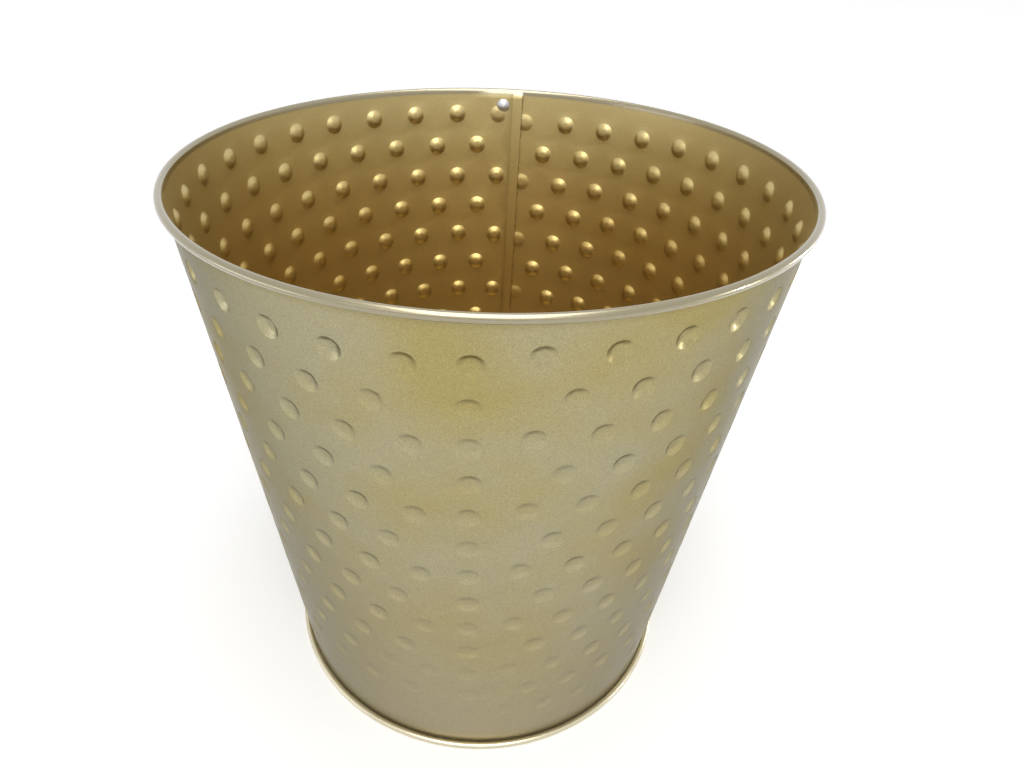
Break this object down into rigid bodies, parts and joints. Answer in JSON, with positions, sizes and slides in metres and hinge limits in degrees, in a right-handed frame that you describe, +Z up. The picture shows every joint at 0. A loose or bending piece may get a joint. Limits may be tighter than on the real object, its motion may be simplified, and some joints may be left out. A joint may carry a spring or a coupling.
{
  "type": "florist bucket",
  "caption": "Round tapered flower bucket of gold-painted embossed sheet metal, with a wired rim, a lapped back seam and a raised base.",
  "frame": {"origin": "middle of the ring that the bucket stands on, at floor level", "axes": "+Z up along the bucket's axis, -Y towards the front, +Y towards the lapped seam at the back"},
  "size_m": [0.2074, 0.2074, 0.197],
  "materials": {
    "gold_paint_wall": "thin metallic gold paint on embossed sheet steel, semi-gloss outside and matter inside",
    "gold_paint_base": "thin metallic gold paint on plain sheet steel, brighter on the rolled edge",
    "wire_steel": "drawn steel wire, sealed inside the curl",
    "rivet_aluminium": "bare domed rivet head, dull silver"
  },
  "bodies": {
    "root": {"bucket_wall": "gold_paint_wall", "base_pan": "gold_paint_base", "rim_wire": "wire_steel", "seam_rivet": "rivet_aluminium"}
  },
  "joints": []
}
